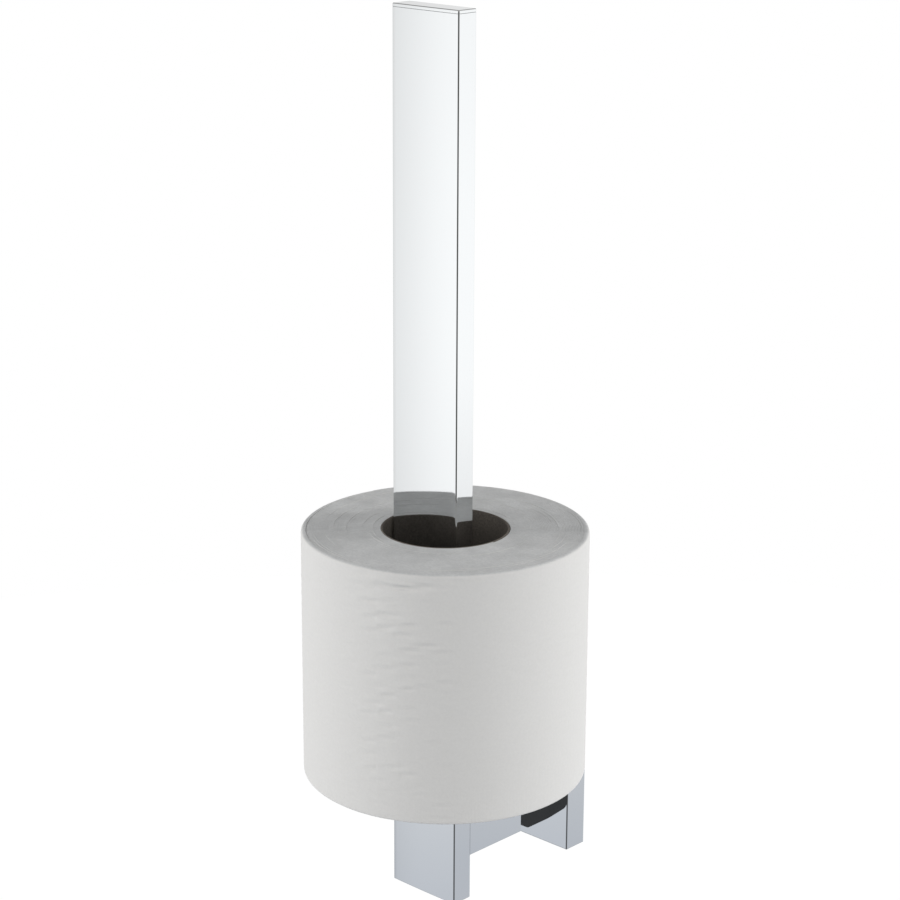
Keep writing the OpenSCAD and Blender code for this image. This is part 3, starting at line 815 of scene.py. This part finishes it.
def coreTube(s):
    # two plies wound in a spiral: the joint of the inner ply shows as a shallow helical groove
    angles = np.linspace(0, 2 * math.pi, s["columns"], endpoint=False)
    height, gap = s["height"], s["endGap"]
    outer, bore = np.full(s["columns"], s["radius"]), np.full(s["columns"], s["radius"] - s["wall"])
    loops = [(outer, gap), (outer, height - gap), (outer - s["ease"], height), (bore + s["ease"], height)]
    for level in np.linspace(height - gap, gap, s["rows"]):
        away = (level / s["lead"] - angles / (2 * math.pi)) % 1.0
        away = np.minimum(away, 1 - away) * s["lead"]
        loops.append((bore + s["grooveDepth"] * np.exp(-(away / s["grooveWidth"]) ** 2), level))
    loops += [(bore + s["ease"], 0.0), (outer - s["ease"], 0.0)]
    return gridMesh("core", roundPoints(s, angles, loops), True)


windingMesh = meshFromTree("wound tissue", windingTree(windingSet), windingSet)
addPiece("wound_tissue", windingMesh, "tissue_paper", "roll", "tissue_roll")
addPiece("outer_turns", outerRing(rollSet), "tissue_paper", "roll", "tissue_roll")
addPiece("spiral_core", coreTube(coreSet), "core_cardboard", "roll", "cardboard_core")


# Post: a polished tube with a cap on its top; buffing leaves the flats a little crowned

tubeLow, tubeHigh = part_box("post_tube")

postSet = {
    "middle": ((tubeLow[0] + tubeHigh[0]) / 2, (tubeLow[1] + tubeHigh[1]) / 2),
    "width": tubeHigh[0] - tubeLow[0],
    "depth": tubeHigh[1] - tubeLow[1],
    "foot": tubeLow[2],
    "seam": tubeHigh[2],
    "top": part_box("top_cap")[1][2],
    "frontRadius": 0.6 * mm,
    "rearRadius": 0.3 * mm,
    "leastRadius": 0.1 * mm,
    "wideCrown": 0.2 * mm,
    "narrowCrown": 0.02 * mm,
    "cornerSteps": 8,
    "flatSteps": 24,
    "wall": 1.5 * mm,
    "seamEase": 0.2 * mm,
    "rimRadius": 0.4 * mm,
    "rimSteps": 5,
    "nextRow": 0.03 * mm,    # a row this close beside a rounding keeps the flat next to it flat
    "plugGap": 0.2 * mm,
    "plugLength": 8 * mm,
    "plugWall": 1.2 * mm,
    "holeSpacing": 18 * mm,
    "holeRadius": 2.2 * mm,
    "holeDepth": 2.4 * mm,
    "holeSides": 32,
}


def barOutline(s, inset=0.0, radius=None):
    # counterclockwise seen from above; with a radius it is a plain rounded rectangle, without one the
    # post's own
    halfX, halfY = s["width"] / 2 - inset, s["depth"] / 2 - inset
    corners = [(1, -1, s["frontRadius"]), (1, 1, s["rearRadius"]), (-1, 1, s["rearRadius"]),
               (-1, -1, s["frontRadius"])]
    arcs = []
    for number, (signX, signY, ownRadius) in enumerate(corners):
        bend = radius or max(ownRadius - inset, s["leastRadius"])
        angle = np.radians(90 * (number - 1) + np.linspace(0, 90, s["cornerSteps"] + 1))
        arcs.append(np.stack([signX * (halfX - bend) + bend * np.cos(angle),
                              signY * (halfY - bend) + bend * np.sin(angle)], -1))
    steps = np.linspace(0, 1, s["flatSteps"] + 1)[1:-1, None]
    runs = []
    for arc, following in zip(arcs, arcs[1:] + arcs[:1]):
        runs += [arc, arc[-1] + steps * (following[0] - arc[-1])]
    outline = np.concatenate(runs)
    if radius is None:
        x, y = outline[:, 0].copy(), outline[:, 1].copy()
        outline[:, 0] *= 1 - s["narrowCrown"] / halfX * (y / halfY) ** 2
        outline[:, 1] *= 1 - s["wideCrown"] / halfY * (x / halfX) ** 2
    return outline


def barMesh(s, name, stations, closedRows):
    # stations: an outline and its height, one after the other up the outside
    points = np.array([np.column_stack([outline + s["middle"], np.full(len(outline), height)])
                       for outline, height in stations])
    return gridMesh(name, points, closedRows)


def rimStations(s, edge, up):
    # from the side round to the end face
    rim = s["rimRadius"]
    stations = [(barOutline(s), edge - up * (rim + s["nextRow"]))]
    for angle in np.linspace(0, math.pi / 2, s["rimSteps"] + 1):
        inset, drop = rim * (1 - math.cos(angle)), rim * (1 - math.sin(angle))
        stations.append((barOutline(s, inset), edge - up * drop))
    return stations


def fittedTube(s):
    foot, seam, ease = s["foot"], s["seam"], s["seamEase"]
    inner = barOutline(s, s["wall"], s["leastRadius"])
    stations = rimStations(s, foot, -1)[::-1]
    stations += [(barOutline(s), seam - ease), (barOutline(s, ease), seam), (inner, seam), (inner, foot)]
    return barMesh(s, "post tube", stations, True)


def fittedCap(s):
    seam, top, beside = s["seam"], s["top"], s["nextRow"]
    plug = barOutline(s, s["wall"] + s["plugGap"], s["leastRadius"])
    hollow = barOutline(s, s["wall"] + s["plugGap"] + s["plugWall"], s["leastRadius"])
    stations = [(hollow, seam), (hollow, seam - s["plugLength"]), (plug, seam - s["plugLength"]),
                (plug, seam), (barOutline(s), seam), (barOutline(s), seam + beside)]
    stations += rimStations(s, top, 1) + [(barOutline(s, s["rimRadius"] + beside), top)]
    return barMesh(s, "post cap", stations, False)


def drilled(s, mesh):
    # the two screw holes through the back wall, cut by one boolean
    tool = bmesh.new()
    for side in (-1, 1):
        centre = (side * s["holeSpacing"] / 2, s["middle"][1] + s["depth"] / 2 - s["wall"] / 2, 0)
        turned = Matrix.Translation(centre) @ Matrix.Rotation(math.radians(90), 4, "X")
        bmesh.ops.create_cone(tool, cap_ends=True, segments=s["holeSides"], radius1=s["holeRadius"],
                              radius2=s["holeRadius"], depth=s["holeDepth"], matrix=turned)
    toolMesh = bpy.data.meshes.new("drill")
    tool.to_mesh(toolMesh)
    tool.free()
    drill = bpy.data.objects.new("drill", toolMesh)
    blank = bpy.data.objects.new("blank", mesh)
    for thing in (drill, blank):
        bpy.context.scene.collection.objects.link(thing)
    boolean = blank.modifiers.new("holes", "BOOLEAN")
    boolean.operation = "DIFFERENCE"
    boolean.object = drill
    cut = bpy.data.meshes.new_from_object(blank.evaluated_get(bpy.context.evaluated_depsgraph_get()))
    cut.name = mesh.name
    for thing in (drill, blank):
        bpy.data.objects.remove(thing)
    return cut


addPiece("fitted_tube", drilled(postSet, fittedTube(postSet)), "chrome_plate", "holder", "post_tube")
addPiece("fitted_cap", fittedCap(postSet), "chrome_plate", "holder", "top_cap")


# Screws: one tree for all; a rolled thread wound up a shank, a head of two cone frusta and a hex socket

postScrewLow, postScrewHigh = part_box("post_screws")
tieLow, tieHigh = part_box("tie_screws")
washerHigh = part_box("tie_washers")[1]
grubLow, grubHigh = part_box("grub_screw")
tieReach = tieHigh[2] - tieHigh[0]     # from the middle to a tie screw's axis

threadSet = {
    "radius": 2.0 * mm,
    "pitch": 0.7 * mm,
    "threadDepth": 0.42 * mm,
    "pointRadius": 1.4 * mm,
    "columns": 25,
    "key": 2.5 * mm,
    "keyDepth": 1.3 * mm,
    "headOverlap": 0.1 * mm,   # the head starts a little inside the shank
    "headSides": 48,
    "smoothAngle": 30.0,
    "material": "screw_steel",
}

postScrewSet = {
    **threadSet,
    "count": 2,
    "start": (-postSet["holeSpacing"] / 2, postScrewLow[1], 0.0),
    "step": (postSet["holeSpacing"], 0.0, 0.0),
    "turn": (-math.pi / 2, 0.0, 0.0),
    "threadLength": 8.6 * mm,
    "length": postScrewHigh[1] - postScrewLow[1] - 2.1 * mm,
    "neckRadius": 1.9 * mm,
    "rimRadius": postScrewHigh[2],
    "faceRadius": postScrewHigh[2] - 0.15 * mm,
    "lowerHeight": 1.9 * mm,
    "upperHeight": 0.2 * mm,
}

tieScrewSet = {
    **threadSet,
    "count": 2,
    "start": (0.0, tieLow[1], -tieReach),
    "step": (0.0, 0.0, 2 * tieReach),
    "turn": (-math.pi / 2, 0.0, 0.0),
    "threadLength": 22.0 * mm,
    "length": washerHigh[1] - tieLow[1],
    "neckRadius": tieHigh[0],
    "rimRadius": tieHigh[0],
    "faceRadius": tieHigh[0] * 0.7,
    "lowerHeight": 0.8 * mm,
    "upperHeight": tieHigh[1] - washerHigh[1] - 0.8 * mm,
}

grubScrewSet = {
    **threadSet,
    "count": 1,
    "start": (0.0, (grubLow[1] + grubHigh[1]) / 2, grubHigh[2]),
    "step": (0.0, 0.0, 0.0),
    "turn": (math.pi, 0.0, 0.0),
    "threadLength": 7.0 * mm,
    "length": grubHigh[2] - grubLow[2] - 0.45 * mm,
    "neckRadius": 1.75 * mm,
    "rimRadius": 1.75 * mm,
    "faceRadius": 1.4 * mm,
    "lowerHeight": 0.1 * mm,
    "upperHeight": 0.35 * mm,
    "key": 2.0 * mm,
    "keyDepth": 2.5 * mm,
}

# The thread's sums: a result, the operation, and its values, which are numbers, the tree's inputs or
# earlier results. The grid has eight rows to a turn, and a closed row at each end.
threadSums = [
    ("turns", "DIVIDE", "length", "pitch"),
    ("eighths", "MULTIPLY", "turns", 8.0),
    ("rows", "ROUND", "eighths"),
    ("around", "ADD", "gridX", 0.5),
    ("along", "ADD", "gridY", 0.5),
    ("lastRow", "SUBTRACT", "rows", 1.0),
    ("row", "MULTIPLY", "along", "lastRow"),
    ("rowsUp", "SUBTRACT", "row", 1.0),
    ("rowSpan", "SUBTRACT", "rows", 3.0),
    ("shareUp", "DIVIDE", "rowsUp", "rowSpan"),
    ("shareAbove", "MAXIMUM", "shareUp", 0.0),
    ("share", "MINIMUM", "shareAbove", 1.0),
    ("level", "MULTIPLY", "share", "length"),
    ("levelTurns", "DIVIDE", "level", "pitch"),
    ("unwound", "SUBTRACT", "levelTurns", "around"),
    ("wound", "FRACT", "unwound"),
    ("toCrest", "PINGPONG", "wound", 0.5),
    ("crest", "MULTIPLY", "toCrest", 2.0),
    ("valley", "SUBTRACT", 1.0, "crest"),
    ("threaded", "LESS_THAN", "level", "threadLength"),
    ("cut", "MULTIPLY", "valley", "threaded"),
    ("cutDepth", "MULTIPLY", "cut", "threadDepth"),
    ("cutRadius", "SUBTRACT", "radius", "cutDepth"),
    ("pointed", "ADD", "level", "pointRadius"),
    ("leastRadius", "MINIMUM", "cutRadius", "pointed"),
    ("pastFirst", "GREATER_THAN", "row", 0.5),
    ("lastOpen", "SUBTRACT", "rows", 1.5),
    ("beforeLast", "LESS_THAN", "row", "lastOpen"),
    ("open", "MULTIPLY", "pastFirst", "beforeLast"),
    ("reach", "MULTIPLY", "leastRadius", "open"),
    ("angle", "MULTIPLY", "around", 2 * math.pi),
    ("cosine", "COSINE", "angle"),
    ("sine", "SINE", "angle"),
    ("x", "MULTIPLY", "reach", "cosine"),
    ("y", "MULTIPLY", "reach", "sine"),
    # the head and its socket
    ("neck", "SUBTRACT", "length", "headOverlap"),
    ("lowerDepth", "ADD", "lowerHeight", "headOverlap"),
    ("brim", "ADD", "length", "lowerHeight"),
    ("face", "ADD", "brim", "upperHeight"),
    ("keyRadius", "DIVIDE", "key", math.sqrt(3)),
    ("socketDepth", "MULTIPLY", "keyDepth", 2.0),
]


def screwTree(s):
    tree, given = newTree("machine screw", s)
    place = addNode(tree, "ShaderNodeSeparateXYZ", {0: addNode(tree, "GeometryNodeInputPosition")})
    known = {name: given[name] for name in s}
    known.update(gridX=place.outputs["X"], gridY=place.outputs["Y"])
    for result, operation, *values in threadSums:
        known[result] = addNode(tree, "ShaderNodeMath", {k: known.get(v, v) for k, v in enumerate(values)},
                                operation=operation)

    def raised(geometry, height):
        lift = addNode(tree, "ShaderNodeCombineXYZ", {"Z": known[height]})
        return addNode(tree, "GeometryNodeTransform", {"Geometry": geometry, "Translation": lift})

    # shank: a grid wrapped round the axis
    grid = addNode(tree, "GeometryNodeMeshGrid",
                   {"Size X": 1.0, "Size Y": 1.0, "Vertices X": known["columns"],
                    "Vertices Y": known["rows"]})
    spot = addNode(tree, "ShaderNodeCombineXYZ", {"X": known["x"], "Y": known["y"], "Z": known["level"]})
    wrapped = addNode(tree, "GeometryNodeSetPosition", {"Geometry": grid, "Position": spot})
    shank = addNode(tree, "GeometryNodeMergeByDistance", {"Geometry": wrapped, "Distance": 0.002 * mm})

    lower = addNode(tree, "GeometryNodeMeshCone",
                    {"Vertices": known["headSides"], "Radius Top": known["rimRadius"],
                     "Radius Bottom": known["neckRadius"], "Depth": known["lowerDepth"]})
    upper = addNode(tree, "GeometryNodeMeshCone",
                    {"Vertices": known["headSides"], "Radius Top": known["faceRadius"],
                     "Radius Bottom": known["rimRadius"], "Depth": known["upperHeight"]})
    whole = addNode(tree, "GeometryNodeMeshBoolean", operation="UNION", solver="MANIFOLD")
    for piece in (shank, raised(lower, "neck"), raised(upper, "brim")):
        tree.links.new(piece.outputs[0], whole.inputs["Mesh 2"])
    hexagon = addNode(tree, "GeometryNodeMeshCylinder",
                      {"Vertices": 6, "Radius": known["keyRadius"], "Depth": known["socketDepth"]})
    socketed = addNode(tree, "GeometryNodeMeshBoolean",
                       {"Mesh 1": whole, "Mesh 2": raised(hexagon, "face")},
                       operation="DIFFERENCE", solver="MANIFOLD")

    spots = addNode(tree, "GeometryNodeMeshLine",
                    {"Count": known["count"], "Start Location": known["start"], "Offset": known["step"]})
    placed = addNode(tree, "GeometryNodeInstanceOnPoints",
                     {"Points": spots, "Instance": smoothTo(tree, socketed, known["smoothAngle"]),
                      "Rotation": known["turn"]})
    endTree(tree, placed, known["material"])
    return tree


for name, screwSet, node in (("countersunk_screws", postScrewSet, "post_screws"),
                             ("long_screws", tieScrewSet, "tie_screws"),
                             ("set_screw", grubScrewSet, "grub_screw")):
    addPiece(name, meshFromTree(name, screwTree(screwSet), screwSet), "screw_steel", "holder", node)
